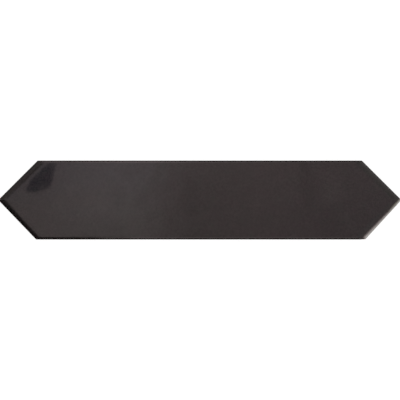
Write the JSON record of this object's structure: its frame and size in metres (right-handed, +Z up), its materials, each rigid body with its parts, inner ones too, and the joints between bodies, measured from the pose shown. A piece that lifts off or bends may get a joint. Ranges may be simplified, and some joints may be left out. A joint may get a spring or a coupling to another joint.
{
  "type": "hexagon tile",
  "caption": "Long flat hexagon wall tile with right-angled points, a glazed face whose edges roll softly down, and a grooved keying back.",
  "frame": {"origin": "on the plane of the back, under the middle of the tile's bounding box", "axes": "+X along the tile, point to point, to the picture's right; +Y across the tile, to the picture's upper edge; +Z up out of the glazed face"},
  "size_m": [0.3316, 0.065, 0.009],
  "materials": {
    "glazed_tile": "gloss"
  },
  "bodies": {
    "root": {"hexagon_tile": "glazed_tile"}
  },
  "joints": []
}
